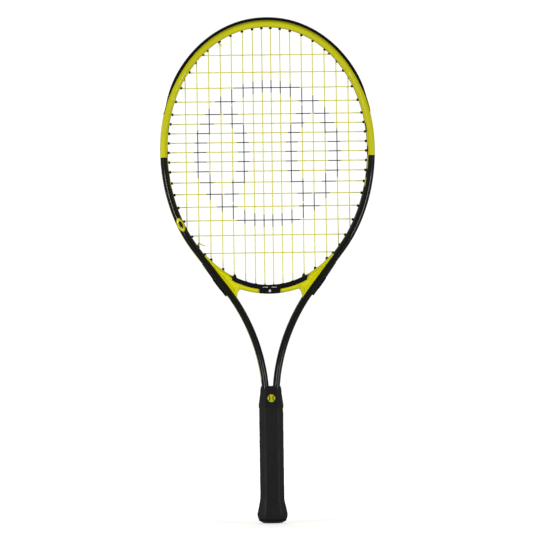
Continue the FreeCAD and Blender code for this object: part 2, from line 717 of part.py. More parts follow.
def butt_core_socket():
    """The stepped end of the pallets that the butt cap's skirt slides over."""
    wires = [octagon(SOCKET_X, SOCKET_Y, z) for z in (PALLET_START_Z, CAP_TOP_Z)]
    return loft(wires, ruled=True)


def pallet_half(side, tube_pieces, fasteners):
    whole = butt_core_socket().fuse(core_grown(CAP_TOP_Z, PALLET_END_Z, 0))
    keep = box((-BEYOND, min(side, 0) * BEYOND, 0), (BEYOND, max(side, 0) * BEYOND, BEYOND))
    half = whole.common(keep)
    for piece in tube_pieces:
        half = half.cut(piece)
    slot = box((-CORE_SLOT_X, -CORE_SLOT_Y, 0), (CORE_SLOT_X, CORE_SLOT_Y, BEYOND))
    return only_solid(half.cut(slot).cut(fasteners))


def butt_cap(fasteners):
    flare = loft([octagon(x, y, z) for z, x, y in CAP_END], ruled=True)
    skirt = octagon_body(CORE, CAP_END[-1][0], CAP_TOP_Z)
    cap = flare.fuse(skirt)
    socket = loft([octagon(SOCKET_X, SOCKET_Y, z) for z in (CAP_FLOOR, CAP_TOP_Z)], ruled=True)
    recess = box((-DOOR_X - DOOR_GAP, -DOOR_Y - DOOR_GAP, -1),
                 (DOOR_X + DOOR_GAP, DOOR_Y + DOOR_GAP, DOOR_THICKNESS + DOOR_GAP))
    window = box((-PLUG_X - DOOR_GAP, -PLUG_Y - DOOR_GAP, -1),
                 (PLUG_X + DOOR_GAP, PLUG_Y + DOOR_GAP, CAP_FLOOR + 1))
    return only_solid(cap.cut(socket).cut(recess).cut(window).cut(fasteners))


def trap_door():
    lid = box((-DOOR_X, -DOOR_Y, 0), (DOOR_X, DOOR_Y, DOOR_THICKNESS))
    lid = lid.makeFillet(1.5, [e for e in lid.Edges if e.BoundBox.ZLength > 1])
    plug_top = DOOR_THICKNESS + PLUG_HEIGHT
    plug = box((-PLUG_X, -PLUG_Y, DOOR_THICKNESS - 0.2), (PLUG_X, PLUG_Y, plug_top))
    hollow = box((-PLUG_X + 1.2, -PLUG_Y + 1.2, DOOR_THICKNESS), (PLUG_X - 1.2, PLUG_Y - 1.2, 9))
    door = lid.fuse(plug).cut(hollow)
    for side in (-1, 1):
        inner, outer = sorted((side * (PLUG_X - LEG_THICKNESS), side * PLUG_X))
        leg = box((inner, -LEG_WIDTH / 2, DOOR_THICKNESS), (outer, LEG_WIDTH / 2, LEG_TOP_Z))
        door = door.fuse(leg)
    slot = box((-4.0, -DOOR_Y, -0.5), (4.0, -DOOR_Y + 1.2, 0.6))       # fingernail slot
    return only_solid(door.cut(slot))


def staples():
    """Four staples through the butt cap's skirt into the pallets, crowns flush with the skirt."""
    found = []
    half_x, half_y = profile_at(CORE, STAPLE_Z)
    half, wire = STAPLE_CROWN / 2, STAPLE_WIRE
    for turn, reach, leg in ((0, half_x, STAPLE_LEG), (90, half_y, STAPLE_LEG - 0.9),
                             (180, half_x, STAPLE_LEG), (270, half_y, STAPLE_LEG - 0.9)):
        outer = reach - 0.25
        crown = box((outer - wire, -half, STAPLE_Z - wire / 2), (outer, half, STAPLE_Z + wire / 2))
        staple = crown
        for y in (-half, half - wire):
            staple = staple.fuse(box((outer - leg, y, STAPLE_Z - wire / 2),
                                     (outer, y + wire, STAPLE_Z + wire / 2)))
        staple.rotate(Vector(), Vector(0, 0, 1), turn)
        found.append(only_solid(staple.removeSplitter()))
    return Part.makeCompound(found)


def grip_tack():
    """The flat-headed tack that holds the grip's first turn at the butt."""
    half_x, _ = profile_at(CORE, TACK_Z)
    face = half_x - 0.4
    head = rod(Vector(face - TACK_HEAD, 0, TACK_Z), Vector(face, 0, TACK_Z), TACK_HEAD_R)
    shank = rod(Vector(face - TACK_LENGTH, 0, TACK_Z), Vector(face, 0, TACK_Z), TACK_SHANK_R)
    return only_solid(head.fuse(shank))


def grip_body(extra):
    """The grip's outside, or that of the tape wound on it, as a solid."""
    lower = core_grown(GRIP_START_Z, GRIP_TAPER_Z, GRIP_THICKNESS + extra)
    upper = core_grown(GRIP_TAPER_Z, GRIP_END_Z, GRIP_THICKNESS + extra, 0.4 + extra)
    return lower.fuse(upper)


def replacement_grip():
    return only_solid(grip_body(0).cut(core_grown(GRIP_START_Z, GRIP_END_Z, 0)))


def tape_solid():
    """The finishing tape filled in down to the axis, over the end of the grip."""
    above_start = box((-BEYOND, -BEYOND, TAPE_START_Z), (BEYOND, BEYOND, GRIP_END_Z))
    over = grip_body(TAPE_THICKNESS).common(above_start)
    above = octagon_body(CORE, GRIP_END_Z, TAPE_END_Z, 0.4 + TAPE_THICKNESS, TAPE_THICKNESS)
    return over.fuse(above)


def finishing_tape():
    core = core_grown(TAPE_START_Z - 1, TAPE_END_Z + 1, 0)
    return only_solid(tape_solid().cut(grip_body(0)).cut(core))


def grip_collar(tube_pieces):
    outside = loft([octagon(x, y, z) for z, x, y in COLLAR], ruled=True)
    collar = outside.cut(tape_solid()).cut(grip_body(0))
    collar = collar.cut(core_grown(COLLAR[0][0] - 1, PALLET_END_Z, 0))
    void = octagon(*profile_at(CORE, PALLET_END_Z), PALLET_END_Z)
    collar = collar.cut(loft([void, octagon(12.4, 11.2, COLLAR_LIP_Z)], ruled=True))
    for piece in tube_pieces:
        collar = collar.cut(piece)
    return only_solid(collar)


# ---- build and export ------------------------------------------------------------------------
def build():
    all_holes = holes()
    tube_pieces = tube_runs(tube_outline)
    shafts = tube_pieces[1:]
    fasteners = staples()
    tack = grip_tack()
    fixed = Part.makeCompound([fasteners, tack])
    main_route, cross_route = main_string_points(), cross_string_points()
    return {
        "frame_tube": frame_tube(all_holes),
        "throat_bridge": throat_bridge(tube_pieces, all_holes),
        "bumper_guard": bumper_guard(all_holes),
        "grommet_strip_left": grommet_strip(all_holes, -1),
        "grommet_strip_right": grommet_strip(all_holes, 1),
        "throat_grommet_strip": throat_grommet_strip(all_holes),
        "shoulder_pad_left": shoulder_pad(all_holes, -1),
        "shoulder_pad_right": shoulder_pad(all_holes, 1),
        "main_string": string_solid(main_route),
        "cross_string": string_solid(cross_route),
        "upper_tie_off_knot": knot(TIE_TOP_X, True, Vector(0.6, -0.5, -0.6)),
        "lower_tie_off_knot": knot(TIE_BOTTOM_X, False, Vector(0.92, -0.1, -0.38)),
        "handle_pallet_front": pallet_half(-1, shafts, fixed),
        "handle_pallet_back": pallet_half(1, shafts, fixed),
        "butt_cap": butt_cap(fixed),
        "butt_cap_staples": fasteners,
        "butt_cap_trap_door": trap_door(),
        "replacement_grip": replacement_grip(),
        "grip_start_tack": tack,
        "finishing_tape": finishing_tape(),
        "grip_collar": grip_collar(shafts),
    }


os.makedirs("parts", exist_ok=True)
for node, shape in build().items():
    volume = shape.Volume / 1000
    print(f"{node}: {len(shape.Solids)} solid(s), {volume:.2f} cm3, valid {shape.isValid()}")
    shape.exportStep(f"parts/{node}.step")
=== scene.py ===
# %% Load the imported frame
import math

import bmesh
import bpy
from mathutils import Matrix, Vector


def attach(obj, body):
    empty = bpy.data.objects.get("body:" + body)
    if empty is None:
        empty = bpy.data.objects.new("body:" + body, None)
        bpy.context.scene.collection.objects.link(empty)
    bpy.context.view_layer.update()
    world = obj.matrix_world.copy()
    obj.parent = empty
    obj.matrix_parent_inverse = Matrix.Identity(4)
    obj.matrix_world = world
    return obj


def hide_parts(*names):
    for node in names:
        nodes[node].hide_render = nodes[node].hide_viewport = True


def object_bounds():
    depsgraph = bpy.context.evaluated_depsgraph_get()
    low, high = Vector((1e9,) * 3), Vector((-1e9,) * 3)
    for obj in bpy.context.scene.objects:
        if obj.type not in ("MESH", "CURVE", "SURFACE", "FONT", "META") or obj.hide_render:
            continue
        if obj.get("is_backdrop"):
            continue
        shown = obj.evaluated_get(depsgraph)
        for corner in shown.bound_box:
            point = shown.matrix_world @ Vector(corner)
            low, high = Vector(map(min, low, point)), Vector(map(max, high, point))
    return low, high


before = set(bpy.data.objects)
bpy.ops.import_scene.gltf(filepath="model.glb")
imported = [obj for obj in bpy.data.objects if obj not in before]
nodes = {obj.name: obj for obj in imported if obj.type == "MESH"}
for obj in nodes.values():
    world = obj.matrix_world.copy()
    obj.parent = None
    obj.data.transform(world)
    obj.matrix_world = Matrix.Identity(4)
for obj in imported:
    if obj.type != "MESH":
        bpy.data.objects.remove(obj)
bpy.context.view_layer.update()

# %% [markdown]
# The racket stands upright on its butt. Z runs up the handle, X lies across the string bed and Y
# is square to it, with the front towards -Y. Lengths are written in millimetres, as a racket
# maker would give them, and turned to Blender's metres by one factor.

# %% Units and names
MM = 0.001
RACKET = "racket"
DOOR = "trap_door"
print(len(nodes), "packed pieces on the bodies", RACKET, "and", DOOR)

# %% [markdown]
# Every material is a small net of nodes. One function adds a node, sets it and wires it, so a
# material reads as a list of what each node does. Colours are chosen as sRGB hex values, the way
# a paint chart gives them, but shaders add and multiply light, so they need linear values.


# %% Node and colour helpers
def linear(code):
    """An sRGB hex colour as linear RGBA."""
    channels = [int(code[i:i + 2], 16) / 255 for i in (1, 3, 5)]
    return [c / 12.92 if c <= 0.04045 else ((c + 0.055) / 1.055) ** 2.4 for c in channels] + [1]


def node(tree, kind, settings=(), inputs=()):
    """Adds a node. An input is a number, a colour, a socket, or a node for its first socket."""
    made = tree.nodes.new("ShaderNode" + kind)
    for name, value in dict(settings).items():
        setattr(made, name, value)
    for key, value in dict(inputs).items():
        if isinstance(value, bpy.types.Node):
            value = value.outputs[0]
        if isinstance(value, bpy.types.NodeSocket):
            tree.links.new(value, made.inputs[key])
        else:
            made.inputs[key].default_value = value
    return made


def new_material(name, **sockets):
    """A material with one Principled shader, whose plain sockets are set by name."""
    material = bpy.data.materials.new(name)
    material.use_nodes = True
    tree = material.node_tree
    tree.nodes.clear()
    shader = node(tree, "BsdfPrincipled", inputs=sockets)
    node(tree, "OutputMaterial", inputs={"Surface": shader.outputs[0]})
    return material, tree, shader


print("half of the sRGB scale, #808080, is", round(linear("#808080")[0], 3), "in linear light")

# %% [markdown]
# ## The frame's paint
# The real frame is a carbon and resin tube, sprayed and then sealed under a clear lacquer. The
# clear coat is what the eye reads first: a sharp, thin reflection over a softer colour. The
# crown is neon yellow and the rest black, and the change between them is one masked line.
# The colour is picked by place, from Object coordinates and from the tube's own UV map, which
# holds the distance along the tube and the distance in from its outer edge.

# %% Paint colours and places
NEON, NEON_DEEP = linear("#eeec12"), linear("#e2e00c")
BLACK_LACQUER, BLACK_WORN = linear("#060607"), linear("#0c0c0d")
TOP_Z = 700.0                         # clear of the racket's top
PAINT_LINE_Z = 497.0                  # the crown's colour ends here
INNER_PAINT_Z = 455.0                 # on the inner wall it runs on down to here
DASH, DASHES_END_Z = 31.0, 545.0      # it is broken into dashes up to there
DASH_GAP = 0.35                       # a gap where the dashes' sine wave is above this
FLANK, FLANK_STRIPE_DEPTH = (-6.0, 0.9), 7.4    # the stripe along the outer wall
STRIPE_Z = (195.0, 480.0)
INNER_WALL = (9.35, 11.0)             # inwards from the tube's outer edge
FRONT_Y, LEFT_X = (-20.0, -4.0), (-200.0, 0.0)  # the hoop's mark is on the front, at the left
HOOP_MARK = (0.36, 5.1 * MM, 0)       # its centre: metres along the tube, and in from its edge
HOOP_MARK_HALF = (9.8 * MM, 4.6 * MM, 1)
MARK_RING, MARK_RING_HALF = 0.78, 0.24          # its line, as shares of its half sizes
CLOUD_SCALE, WEAR_SCALE = 28.0, 160.0           # patches 36 mm across, and scuffs of 6 mm
BRIDGE_CLOUD = 40.0                   # patches 25 mm across, on the smaller moulding
PEEL_SCALE = 420.0                    # orange peel of 2.4 mm, a little coarse so that it shows
PEEL = {"Strength": 0.06, "Distance": 0.2 * MM}
LACQUER = {"Coat Weight": 0.5, "IOR": 1.5, "Specular IOR Level": 0.2}
print("the mark is an oval ring of", [round(2000 * v, 1) for v in HOOP_MARK_HALF[:2]], "mm")

# %% [markdown]
# Each place is a band: 1 between two limits, and 0 elsewhere, which is what the Compare
# operation gives. Multiplying two bands keeps what lies in both, and Maximum joins them.


# %% Where the neon paint goes
def neon_mask(tree, place):
    """1 where the tube is neon, 0 where it is black."""
    x, y, z = node(tree, "SeparateXYZ", inputs={0: place}).outputs
    wrap = node(tree, "UVMap", {"uv_map": "tube"})
    _, inwards, _ = node(tree, "SeparateXYZ", inputs={0: wrap}).outputs
    depth = node(tree, "Math", {"operation": "ABSOLUTE"}, {0: y}).outputs[0]
    band = {}
    for name, measured, low, high in (
            ("crown", z, PAINT_LINE_Z, TOP_Z), ("inner_crown", z, INNER_PAINT_Z, TOP_Z),
            ("dashed", z, INNER_PAINT_Z, DASHES_END_Z), ("stripe", z, *STRIPE_Z),
            ("flank", inwards, *FLANK), ("inner_wall", inwards, *INNER_WALL),
            ("middle", depth, -1.0, FLANK_STRIPE_DEPTH), ("front", y, *FRONT_Y),
            ("left", x, *LEFT_X)):
        band[name] = node(tree, "Math", {"operation": "COMPARE"}, {
            0: measured, 1: (low + high) / 2 * MM, 2: (high - low) / 2 * MM})

    turns = node(tree, "Math", {"operation": "MULTIPLY"}, {0: z, 1: 2 * math.pi / (DASH * MM)})
    wave = node(tree, "Math", {"operation": "SINE"}, {0: turns})
    gaps = node(tree, "Math", {"operation": "GREATER_THAN"}, {0: wave, 1: DASH_GAP})
    offset = node(tree, "VectorMath", {"operation": "SUBTRACT"}, {0: wrap, 1: HOOP_MARK})
    shares = node(tree, "VectorMath", {"operation": "DIVIDE"}, {0: offset, 1: HOOP_MARK_HALF})
    oval = node(tree, "VectorMath", {"operation": "LENGTH"}, {0: shares}).outputs["Value"]
    mark = node(tree, "Math", {"operation": "COMPARE"}, {
        0: oval, 1: MARK_RING, 2: MARK_RING_HALF})
    for name, first, second in (("gaps", gaps, "dashed"), ("stripe", band["stripe"], "flank"),
                                ("mark", mark, "front")):
        band[name] = node(tree, "Math", {"operation": "MULTIPLY"}, {0: first, 1: band[second]})
    stripe = node(tree, "Math", {"operation": "MULTIPLY"}, {0: band["stripe"],
                                                            1: band["middle"]})
    mark = node(tree, "Math", {"operation": "MULTIPLY"}, {0: band["mark"], 1: band["left"]})
    inner = node(tree, "Math", {"operation": "SUBTRACT"}, {0: band["inner_crown"],
                                                           1: band["gaps"]})
    mask = node(tree, "Mix", {"data_type": "FLOAT"},
                {0: band["inner_wall"], 2: band["crown"], 3: inner})
    for extra in (stripe, mark):
        mask = node(tree, "Math", {"operation": "MAXIMUM"}, {0: mask, 1: extra})
    return mask


print("the crown is neon above z", PAINT_LINE_Z, "mm")

# %% [markdown]
# Paint is never one flat colour. A slow noise moves both paints a little between a fresh and a
# worn tone, a finer one scuffs the shine, and the finest is the orange peel that a spray gun
# leaves, pressed in by a fifth of a millimetre at most.


# %% Lacquered carbon
def lacquered_carbon():
    """Sprayed carbon tube under clear lacquer: glossy, with a faint ripple from polishing."""
    material, tree, shader = new_material(
        "sprayed_carbon_tube_clear_lacquer", **LACQUER, **{"Coat Roughness": 0.1,
                                                           "Coat IOR": 1.5})
    place = node(tree, "TexCoord").outputs["Object"]
    mask = neon_mask(tree, place)
    cloud = node(tree, "TexNoise", inputs={"Vector": place, "Scale": CLOUD_SCALE,
                                           "Detail": 3.0}).outputs["Fac"]
    neon, black = [
        node(tree, "Mix", {"data_type": "RGBA"}, {0: cloud, 6: new, 7: worn}).outputs[2]
        for new, worn in ((NEON, NEON_DEEP), (BLACK_LACQUER, BLACK_WORN))]
    colour = node(tree, "Mix", {"data_type": "RGBA"}, {0: mask, 6: black, 7: neon}).outputs[2]
    wear = node(tree, "TexNoise", inputs={"Vector": place, "Scale": WEAR_SCALE,
                                          "Detail": 5.0}).outputs["Fac"]
    rough = node(tree, "MapRange", inputs={"Value": wear, "To Min": 0.24, "To Max": 0.42})
    peel = node(tree, "TexNoise", inputs={"Vector": place, "Scale": PEEL_SCALE}).outputs["Fac"]
    bump = node(tree, "Bump", inputs={**PEEL, "Height": peel})
    tree.links.new(colour, shader.inputs["Base Color"])
    tree.links.new(rough.outputs[0], shader.inputs["Roughness"])
    tree.links.new(bump.outputs[0], shader.inputs["Normal"])
    return material


carbon = lacquered_carbon()
print("material:", carbon.name, "with", len(carbon.node_tree.nodes), "nodes")

# %% [markdown]
# The bridge is sprayed in the same neon, so it shares the tube's lacquer and orange peel. It also
# has a weak painted glow, which brightens the neon the same under any lamp, in place of the
# fluorescent pigment.

# %% The bridge's paint
bridge_paint, tree, shader = new_material("sprayed_bridge_clear_lacquer", **LACQUER, **{
    "Coat Roughness": 0.08, "Roughness": 0.34, "Emission Strength": 0.08})
place = node(tree, "TexCoord").outputs["Object"]
cloud = node(tree, "TexNoise", inputs={"Vector": place, "Scale": BRIDGE_CLOUD}).outputs["Fac"]
tone = node(tree, "Mix", {"data_type": "RGBA"}, {0: cloud, 6: NEON, 7: NEON_DEEP}).outputs[2]
peel = node(tree, "TexNoise", inputs={"Vector": place, "Scale": PEEL_SCALE}).outputs["Fac"]
bump = node(tree, "Bump", inputs={**PEEL, "Height": peel})
tree.links.new(tone, shader.inputs["Base Color"])
tree.links.new(tone, shader.inputs["Emission Color"])      # painted glow: lifts the neon the same under any lamp
tree.links.new(bump.outputs[0], shader.inputs["Normal"])
print("material:", bridge_paint.name)

# %% [markdown]
# ## The tube's path
# The frame is one long tube, bent like a hairpin: up one shaft, round the hoop and down the
# other. Its outer edge is a slightly squared ellipse at the crown, an ellipse below, a straight
# shoulder, and a circular bend into the handle. One number, u, runs along all of it from the
# tip: 0 to 1 is the upper quarter, 1 to 2 the lower one, 2 to 3 the shoulder, 3 to 4 the bend
# and 4 to 5 the run inside the handle.

# %% Sizes of the tube's path
HEAD_CENTRE_Z, HEAD_HALF_WIDTH, HEAD_RISE, HEAD_DROP = 505.0, 145.6, 177.8, 193.0
CROWN_POWER = 2.04                    # 2 would be an ellipse
SHOULDER = math.radians(45.2)         # where on the lower ellipse the straight begins
SHAFT_BEND_R, HANDLE_SHAFT_X, SHAFT_END_Z = 250.0, 11.2, 30.0
SHOULDER_X = HEAD_HALF_WIDTH * math.cos(SHOULDER)
SHOULDER_Z = HEAD_CENTRE_Z - HEAD_DROP * math.sin(SHOULDER)
LEAN = math.atan(HEAD_HALF_WIDTH / HEAD_DROP * math.tan(SHOULDER))
BEND_X = HANDLE_SHAFT_X + SHAFT_BEND_R * (1 - math.cos(LEAN))
BEND_Z = SHOULDER_Z - (SHOULDER_X - BEND_X) / math.tan(LEAN)
STRAIGHT_Z = BEND_Z - SHAFT_BEND_R * math.sin(LEAN)
SECTION_WIDTH, SECTION_DEPTH = 10.2, 26.0       # the size at which the section is drawn
TUBE_WIDTH = [(0.0, 10.2), (2.0, 10.2), (3.3, 9.5), (4.0, 9.2), (5.0, 9.2)]
TUBE_DEPTH = [(0.0, 24.0), (1.0, 26.0), (3.0, 26.0), (4.0, 21.0), (5.0, 20.2)]
print("each shaft leans", round(math.degrees(LEAN), 1), "degrees between z",
      round(BEND_Z, 1), "and", round(SHOULDER_Z, 1), "mm")

# %% [markdown]
# The two functions below turn u into a place: edge gives the point and the outward direction
# there, and station gives the matrix that carries a flat section to it. The section is drawn
# once at full size, and the tables make it slimmer towards the handle.


# %% Edge and stations
def blend(u, table):
    """Value at u on a table of (u, value) pairs, straight between them."""
    for (u0, v0), (u1, v1) in zip(table, table[1:]):
        if u <= u1:
            return v0 + (v1 - v0) * (u - u0) / (u1 - u0)
    return table[-1][1]


def edge(u):
    """(x, z) of the tube's outer edge and (nx, nz), its outward direction."""
    if u <= 1:
        t = math.radians(90 * (1 - u))
        cx = max(math.cos(t), 0.0) ** (2 / CROWN_POWER)
        cz = max(math.sin(t), 0.0) ** (2 / CROWN_POWER)
        x, z = HEAD_HALF_WIDTH * cx, HEAD_CENTRE_Z + HEAD_RISE * cz
        nx = cx ** (CROWN_POWER - 1) / HEAD_HALF_WIDTH
        nz = cz ** (CROWN_POWER - 1) / HEAD_RISE
    elif u <= 2:
        t = SHOULDER * (u - 1)
        x, z = HEAD_HALF_WIDTH * math.cos(t), HEAD_CENTRE_Z - HEAD_DROP * math.sin(t)
        nx, nz = math.cos(t) / HEAD_HALF_WIDTH, -math.sin(t) / HEAD_DROP
    elif u <= 3:
        x = SHOULDER_X + (BEND_X - SHOULDER_X) * (u - 2)
        z = SHOULDER_Z + (BEND_Z - SHOULDER_Z) * (u - 2)
        nx, nz = math.cos(LEAN), -math.sin(LEAN)
    elif u <= 4:
        phi = LEAN * (4 - u)
        x = HANDLE_SHAFT_X + SHAFT_BEND_R * (1 - math.cos(phi))
        z = STRAIGHT_Z + SHAFT_BEND_R * math.sin(phi)
        nx, nz = math.cos(phi), -math.sin(phi)
    else:
        x, z = HANDLE_SHAFT_X, STRAIGHT_Z + (SHAFT_END_Z - STRAIGHT_Z) * (u - 4)
        nx, nz = 1.0, 0.0
    length = math.hypot(nx, nz)
    return (x, z), (nx / length, nz / length)


def station(u):
    """Carries a section drawn in millimetres, x outwards and y through, to its place at u."""
    (x, z), (nx, nz) = edge(u)
    wide = blend(u, TUBE_WIDTH) / SECTION_WIDTH * MM
    deep = blend(u, TUBE_DEPTH) / SECTION_DEPTH * MM
    return Matrix(((nx * wide, 0, nz * MM, x * MM), (0, deep, 0, 0),
                   (nz * wide, 0, -nx * MM, z * MM), (0, 0, 0, 1)))


def steps(start, end, count):
    """count equal steps from start to end, both ends included."""
    return [start + (end - start) * i / count for i in range(count + 1)]


print("widest at", edge(1)[0], "mm, and the crown is at", edge(0)[0][1], "mm")

# %% [markdown]
# ## Sweeping the tube
# A long tube is best modelled as its path is: draw its section once, round its corners, and
# carry it along. Here the section is a face whose corners are bevelled, and each step extrudes
# its outline and moves the new ring to the next station. The same functions would sweep a
# handlebar or a chair frame.


# %% Sweep a rounded section along the tube
def rounded_ring(bm, outline, corner_sizes):
    """Draws a section with its corners rounded, and returns the outline's verts in order."""
    verts = [bm.verts.new((x, y, 0)) for x, y in outline]
    bm.faces.new(verts)
    for size in sorted(set(corner_sizes), reverse=True):
        chosen = [v for v, s in zip(verts, corner_sizes) if s == size and v.is_valid]
        if size:
            bmesh.ops.bevel(bm, geom=chosen, offset=size, affect="VERTICES", segments=3,
                            profile=0.5, material=-1, clamp_overlap=True)
    bm.faces.ensure_lookup_table()
    face = bm.faces[0]
    ring = [loop.vert for loop in face.loops]
    bmesh.ops.delete(bm, geom=[face], context="FACES_ONLY")
    return ring


def sweep_half(outline, corner_sizes, us, on_step=None):
    """Half of a swept piece, from the first u to the last, with its tube UV map."""
    bm = bmesh.new()
    uv = bm.loops.layers.uv.new("tube")
    inwards = bm.verts.layers.float.new("inwards")
    travelled = bm.verts.layers.float.new("travelled")
    ring = rounded_ring(bm, outline, corner_sizes)
    for v in ring:
        v[inwards] = -v.co.x * MM
    bmesh.ops.transform(bm, matrix=station(us[0]), verts=ring)
    edges = list(bm.edges)
    start_edges, distance = edges, 0.0
    for before, u in zip(us, us[1:]):
        grown = bmesh.ops.extrude_edge_only(bm, edges=edges)["geom"]
        fresh = [g for g in grown if isinstance(g, bmesh.types.BMVert)]
        inside = set(fresh)
        edges = [g for g in grown if isinstance(g, bmesh.types.BMEdge)
                 and g.verts[0] in inside and g.verts[1] in inside]
        moved = station(u) @ station(before).inverted()
        bmesh.ops.transform(bm, matrix=moved, verts=fresh)
        if on_step:
            on_step(bm, before, u, fresh)
        (x0, z0), _ = edge(before)
        (x1, z1), _ = edge(u)
        distance += math.hypot(x1 - x0, z1 - z0) * MM
        for v in fresh:
            v[travelled] = distance
    for face in bm.faces:
        for loop in face.loops:
            loop[uv].uv = (loop.vert[travelled], loop.vert[inwards])
    bmesh.ops.contextual_create(bm, geom=edges)
    if us[0] > 0:
        bmesh.ops.contextual_create(bm, geom=start_edges)
    return bm


print("a ring is rounded first, then extruded from station to station")

# %% [markdown]
# Only one side is modelled, and mirror makes the other, so both shafts match exactly. A piece is
# then given its material, the body it rides on and the CAD node it stands in for. The weighted
# normals modifier keeps broad facets flat in the light, and turns the shading only in the
# narrow bevels between them, as on a polished moulding.


# %% Mirror, finish and shade a piece
MIRROR_MERGE, DOUBLES = 0.02 * MM, 0.01 * MM


def both_sides(bm):
    """Adds the mirror image across the racket's middle, joined where the two halves meet."""
    bmesh.ops.mirror(bm, geom=bm.verts[:] + bm.edges[:] + bm.faces[:], axis="X",
                     merge_dist=MIRROR_MERGE, mirror_u=False)
    bmesh.ops.remove_doubles(bm, verts=bm.verts, dist=DOUBLES)
    bmesh.ops.recalc_face_normals(bm, faces=bm.faces)


def finish_piece(bm, name, material, body, replaces):
    """Turns a bmesh into a piece of the racket: mesh, material, body and CAD node."""
    mesh = bpy.data.meshes.new(name)
    bm.to_mesh(mesh)
    bm.free()
    piece = bpy.data.objects.new(name, mesh)
    bpy.context.scene.collection.objects.link(piece)
    mesh.materials.append(material)
    for polygon in mesh.polygons:
        polygon.use_smooth = True
    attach(piece, body)
    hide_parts(*replaces)
    print(f"{name}: {len(mesh.polygons)} faces")
    return piece


def weighted_normals(piece):
    """Lets broad facets keep their flat shine, with the shading turned only in the bevels."""
    modifier = piece.modifiers.new("weighted_normals", "WEIGHTED_NORMAL")
    modifier.mode = "FACE_AREA"
    modifier.weight = 80
    modifier.keep_sharp = True


print("halves meet within", round(MIRROR_MERGE / MM, 3), "mm")

# %% [markdown]
# The section has a flat ridge front and back, two facets down each side, and the string groove
# on the outside, which keeps the strings' loops off the court. The groove runs out just past
# the shoulder, where no string leaves the frame.

# %% Hoop and shafts
GROOVE_DEPTH, GROOVE_HALF, GROOVE_END_U = 2.2, 4.3, 3.08
GROOVE_TOLERANCE, FLOOR_SEARCH = 0.02, 3.0      # which verts are the groove's, across and inwards
half_section = [(-GROOVE_DEPTH, GROOVE_HALF - 0.2), (0, GROOVE_HALF), (0, 7.5), (-1.2, 10.4),
                (-3.8, 13.0), (-6.4, 13.0), (-9.0, 10.4), (-10.2, 7.5)]
corner_half = [0.3, 0.3, 1.4, 1.2, 0.7, 0.7, 1.2, 1.4]
tube_section = half_section + [(x, -y) for x, y in reversed(half_section)]
tube_corners = corner_half + corner_half[::-1]
tube_us = (steps(0, 1, 54) + steps(1, 2, 30)[1:] + steps(2, 3, 8)[1:] + [GROOVE_END_U]
           + steps(3.12, 4, 26) + [4.5, 5.0])


def close_groove(bm, before, u, fresh):
    """Past the shoulder the groove has run out, so its floor comes up to the tube's edge."""
    if before <= GROOVE_END_U < u:
        (x, z), (nx, nz) = edge(u)
        for v in fresh:
            out = (v.co.x / MM - x) * nx + (v.co.z / MM - z) * nz
            if abs(v.co.y) < (GROOVE_HALF + GROOVE_TOLERANCE) * MM and out > -FLOOR_SEARCH:
                v.co += Vector((nx, 0, nz)) * -out * MM


hoop_mesh = sweep_half(tube_section, tube_corners, tube_us, close_groove)
both_sides(hoop_mesh)
hoop = finish_piece(hoop_mesh, "hoop_and_shafts", carbon, RACKET,
                    ["frame_tube"])
weighted_normals(hoop)


# %% [markdown]
# ## Throat bridge
# The bridge is a separate moulding, bonded between the shafts: a slim arch that widens at each
# end into a web. Half of it is built from sections, with ridges that catch light like the tube's
# facets, and mirrored.

# %% Bridge curves
BRIDGE_BOTTOM_Z, BRIDGE_BOTTOM_R, BRIDGE_INNER_RISE = 310.8, 124.0, 182.0


def bridge_underside(x):
    """Height of the bridge's lower edge, an arc."""
    return BRIDGE_BOTTOM_Z + BRIDGE_BOTTOM_R - math.sqrt(BRIDGE_BOTTOM_R ** 2 - x ** 2)


def bridge_inner(x):
    """Height of the hoop's inner edge over the bridge."""
    reach = HEAD_HALF_WIDTH - SECTION_WIDTH
    return HEAD_CENTRE_Z - BRIDGE_INNER_RISE * math.sqrt(1 - (x / reach) ** 2)


def shoulder_inner(z, inwards):
    """x of the straight shoulder at height z, some way in from its outer edge."""
    x0 = SHOULDER_X - inwards * math.cos(LEAN)
    z0 = SHOULDER_Z + inwards * math.sin(LEAN)
    return x0 - (z0 - z) * math.tan(LEAN)


print("the bridge is", round(bridge_inner(0) - bridge_underside(0), 1), "mm high in its middle")

# %% [markdown]
# The web is built from stations too, but each is free: a point on the upper rim, one on the
# lower rim, and between them two ridges with a valley that opens as the web widens. The lower
# points round the corner where the arch turns down into the web. Ten verts make each section.

# %% Stations of the bridge
RIM_Y, CREST_Y, VALLEY_Y = 7.0, 11.0, 7.2     # half depths: at the rims, the ridges, the valley
CREST_IN, LOW_RIDGE_IN = 4.6, 2.6             # how far in from the rims the two ridges run
CREST_SHARE, LOW_RIDGE_SHARE = 0.42, 0.3      # and the most of the height that they take up
WEB_IN = 8.0                                  # the web ends inside the shaft, this far in
SECTION_VERTS = 10
top_x = steps(0, 39, 13) + [41.5, 43.5, 45.5, 48.0, 51.0, 56.0, 63.0, 71.0, 79.0, 86.5]
low_points = [(x, bridge_underside(x)) for x in steps(0, 39.4, 14)]
low_points += [(41.5, 315.8), (43.1, 313.0), (44.2, 308.8), (44.7, 304.4)]
low_points += [(shoulder_inner(z, WEB_IN), z) for z in (312.0, 325.0, 338.0, 350.0, 361.5)]
valley = [0.0] * 13 + [0.25, 0.5, 0.75, 1.0, 1.0, 1.0, 1.0, 1.0, 0.7, 0.3, 0.0]
print(len(top_x), "stations from the middle out to x", top_x[-1], "mm")

# %% [markdown]
# Each station's outline is extruded from the one before, then its verts are put in their places.

